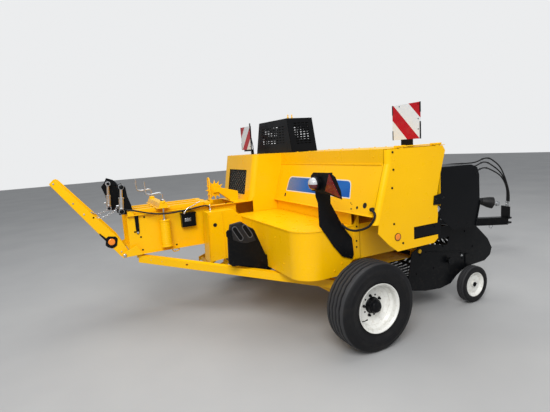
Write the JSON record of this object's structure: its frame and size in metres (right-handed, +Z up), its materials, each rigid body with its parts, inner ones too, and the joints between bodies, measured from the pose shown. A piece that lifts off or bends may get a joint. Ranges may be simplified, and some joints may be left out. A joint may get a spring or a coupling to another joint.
{
  "type": "square baler",
  "caption": "Trailed square baler with offset pickup, feeder housing, bale chamber, folding chute, drawbar, driveshaft and warning boards.",
  "frame": {"origin": "on the ground, under the middle of the machine's bounding box", "axes": "+X forward to the hitch, +Y to the machine's left, +Z up"},
  "size_m": [5.9625, 2.684, 2.04],
  "materials": {
    "yellow_paint": "gloss, a little dirt",
    "black_paint": "satin",
    "white_paint": "satin",
    "bare_steel": "satin",
    "black_plastic": "matt",
    "tyre": "matt"
  },
  "bodies": {
    "frame": {"axle": "yellow_paint", "brace": "yellow_paint", "chamber": "yellow_paint", "plunger": "bare_steel", "tension_rails": "yellow_paint", "springs": "yellow_paint", "density_plates": "black_paint", "density_cylinders": "bare_steel", "metering_arm": "yellow_paint", "counter": "black_paint", "side_cover": "yellow_paint", "chute_ears": "yellow_paint", "feeder": "yellow_paint", "twine_box": "yellow_paint", "rear_cover": "yellow_paint", "knotter_housing": "yellow_paint", "front_hood": "black_paint", "lift_tube": "yellow_paint", "front_frame": "yellow_paint", "gearbox": "black_paint", "drive_yoke": "bare_steel", "flywheel_shield": "yellow_paint", "needle_frame": "yellow_paint", "light_arm": "black_paint", "chock_holder": "black_paint", "board_right": "white_paint", "board_left": "white_paint"},
    "wheel_right": {"tyre_right": "tyre", "rim_right": "white_paint"},
    "wheel_left": {"tyre_left": "tyre", "rim_left": "white_paint"},
    "pickup": {"pickup": "black_paint"},
    "reel": {"reel": "bare_steel"},
    "gauge_wheel": {"gauge_tyre": "tyre", "gauge_rim": "white_paint"},
    "windguard": {"windguard": "black_paint"},
    "drawbar": {"drawbar": "black_paint", "jack_tube": "black_paint"},
    "jack": {"jack_leg": "bare_steel"},
    "flywheel": {"flywheel": "black_paint"},
    "drive_shaft": {"drive_shaft": "black_plastic"},
    "chute": {"chute": "yellow_paint"},
    "end_cover": {"end_cover": "yellow_paint"},
    "knotter_cover": {"knotter_cover": "black_paint"},
    "metering_wheel": {"metering_wheel": "bare_steel"}
  },
  "joints": [
    {"name": "wheel_right_spin", "type": "hinge", "parent": "frame", "child": "wheel_right", "pos_m": [-0.69768, -1.21, 0.375], "axis": [0, 1, 0], "continuous": true},
    {"name": "wheel_left_spin", "type": "hinge", "parent": "frame", "child": "wheel_left", "pos_m": [-0.69768, 1.21, 0.375], "axis": [0, 1, 0], "continuous": true},
    {"name": "pickup_lift", "type": "hinge", "parent": "frame", "child": "pickup", "pos_m": [0.10232, -1.21, 0.64], "axis": [0, -1, 0], "range_deg": [0, 16]},
    {"name": "reel_spin", "type": "hinge", "parent": "pickup", "child": "reel", "pos_m": [0.49232, -1.21, 0.48], "axis": [0, 1, 0], "continuous": true},
    {"name": "gauge_wheel_spin", "type": "hinge", "parent": "pickup", "child": "gauge_wheel", "pos_m": [0.76732, -1.05, 0.193], "axis": [0, 1, 0], "continuous": true},
    {"name": "windguard_tilt", "type": "hinge", "parent": "pickup", "child": "windguard", "pos_m": [0.60232, -1.21, 0.795], "axis": [0, -1, 0], "range_deg": [0, 30]},
    {"name": "drawbar_swing", "type": "hinge", "parent": "frame", "child": "drawbar", "pos_m": [1.18232, 0.53, 0.52], "axis": [0, 0, 1], "range_deg": [-25, 8]},
    {"name": "jack_slide", "type": "slide", "parent": "drawbar", "child": "jack", "axis": [0, 0, 1], "range_m": [0, 0.22]},
    {"name": "flywheel_spin", "type": "hinge", "parent": "frame", "child": "flywheel", "pos_m": [1.38232, 0.726, 0.96], "axis": [1, 0, 0], "continuous": true},
    {"name": "drive_shaft_swing", "type": "hinge", "parent": "frame", "child": "drive_shaft", "pos_m": [1.57232, 0.726, 0.96], "axis": [0, 0, 1], "range_deg": [-12, 20]},
    {"name": "chute_fold", "type": "hinge", "parent": "frame", "child": "chute", "pos_m": [-2.40968, -1.21, 0.752], "axis": [0, -1, 0], "range_deg": [0, 60]},
    {"name": "end_cover_lift", "type": "hinge", "parent": "frame", "child": "end_cover", "pos_m": [-0.69768, -1.326, 1.66], "axis": [-1, 0, 0], "range_deg": [0, 90]},
    {"name": "knotter_cover_lift", "type": "hinge", "parent": "frame", "child": "knotter_cover", "pos_m": [-0.22968, -1.21, 1.66], "axis": [0, 1, 0], "range_deg": [0, 60]},
    {"name": "metering_wheel_spin", "type": "hinge", "parent": "frame", "child": "metering_wheel", "pos_m": [-1.32868, 0.726, 1.28], "axis": [0, 1, 0], "continuous": true}
  ]
}
